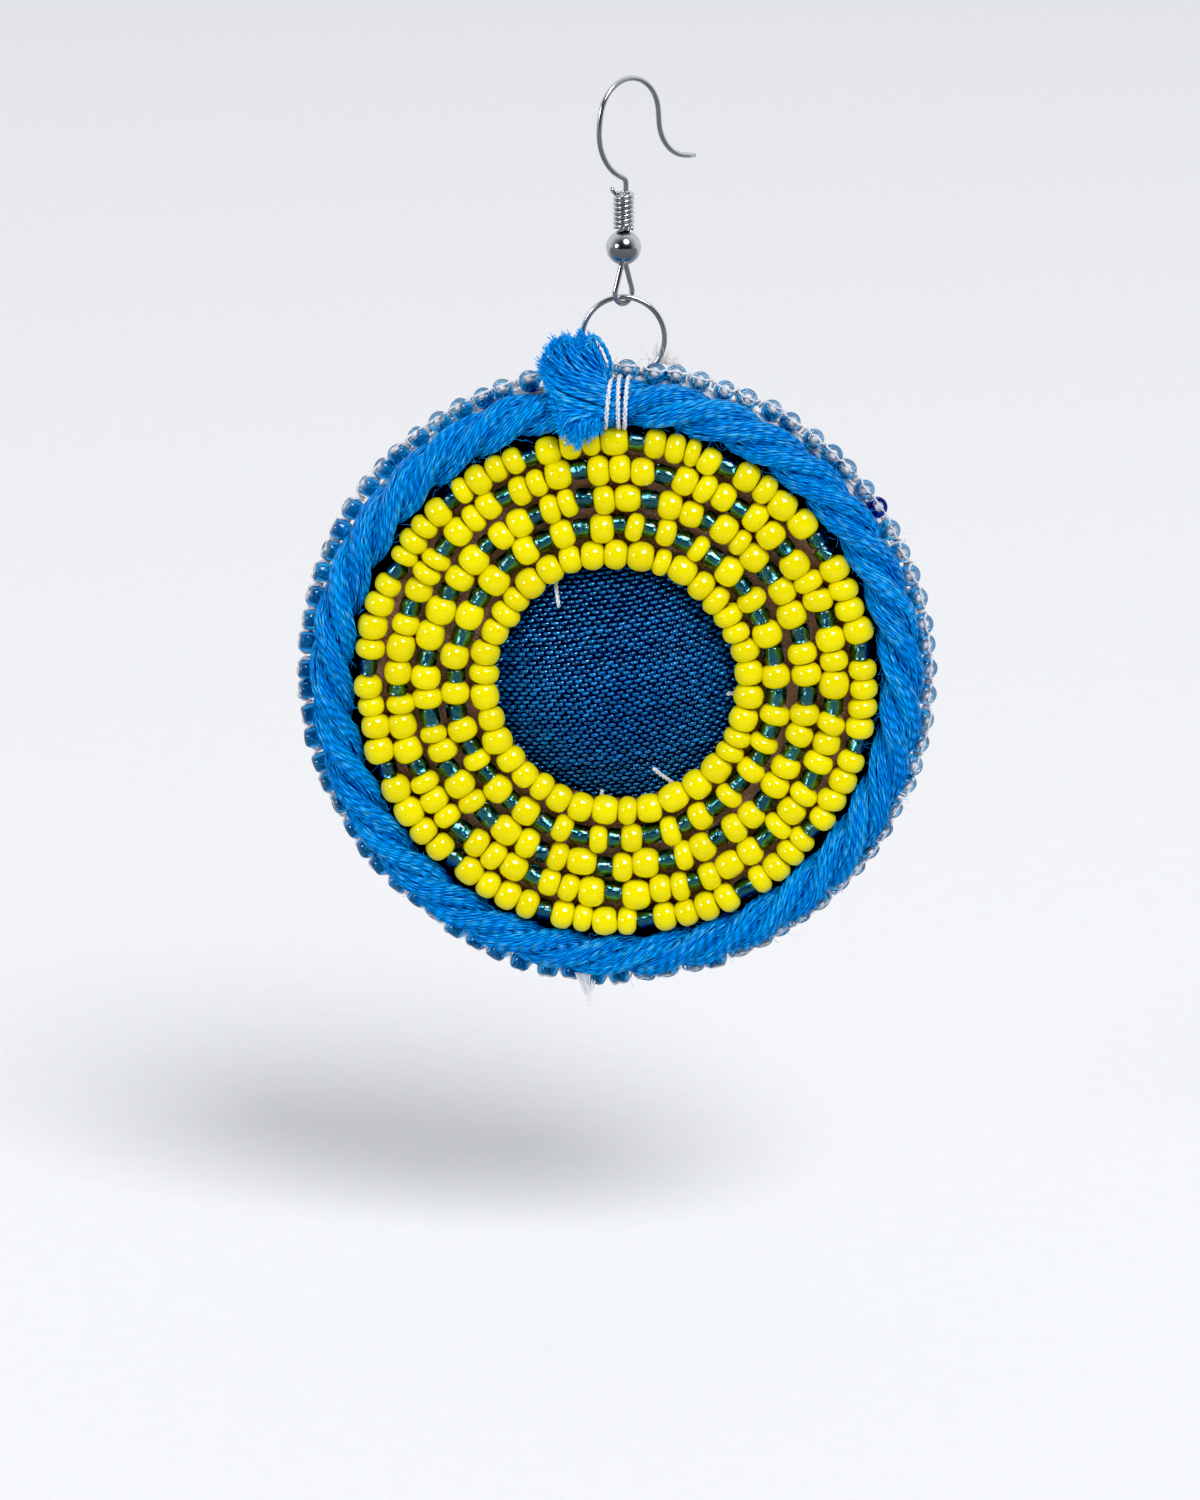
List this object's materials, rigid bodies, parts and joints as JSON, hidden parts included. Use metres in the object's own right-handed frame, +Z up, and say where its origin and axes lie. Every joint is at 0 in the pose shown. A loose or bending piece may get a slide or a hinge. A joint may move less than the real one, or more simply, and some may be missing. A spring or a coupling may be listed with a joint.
{
  "type": "beaded disc drop earring with ear hook",
  "caption": "Drop earring: a round felt disc with rings of glass beads, a domed fabric button, a twisted yarn rim and a beaded edge, hung from a wire ear hook.",
  "frame": {"origin": "underside of the ear hook's crown, where it rests in the ear", "axes": "+Z up, the disc's face towards -Y, +X to the right as seen from the front"},
  "size_m": [0.0571, 0.0119, 0.0817],
  "materials": {
    "steel": "polished stainless wire",
    "steel_ball": "polished",
    "white_felt": "white felt",
    "rim_glass": "transparent blue seed beads",
    "base_cloth": "coarse dull cloth",
    "button_cloth": "shot woven fabric, navy and blue",
    "row_glass": "opaque glossy yellow seed beads with teal ones between",
    "blue_yarn": "loosely twisted cotton floss with a soft sheen"
  },
  "bodies": {
    "hook": {"ear_hook": "steel", "hook_coil": "steel", "hook_ball": "steel_ball"},
    "ring": {"jump_ring": "steel"},
    "drop": {"felt_backing": "white_felt", "edge_bead_string": "rim_glass", "bead_base": "base_cloth", "fabric_button": "button_cloth", "bead_row_1": "row_glass", "bead_row_2": "row_glass", "bead_row_3": "row_glass", "bead_row_4": "row_glass", "bead_row_5": "row_glass", "yarn_cord": "blue_yarn", "yarn_tuft": "blue_yarn"}
  },
  "joints": [
    {"name": "drop_swing", "type": "hinge", "parent": "hook", "child": "ring", "pos_m": [-0.00048, -0.00048, -0.0189], "axis": [1, 0, 0], "range_deg": [-60, 60]},
    {"name": "drop_sway", "type": "hinge", "parent": "ring", "child": "drop", "pos_m": [-0.00048, -0.00048, -0.0225], "axis": [0, 1, 0], "range_deg": [-45, 45]}
  ]
}
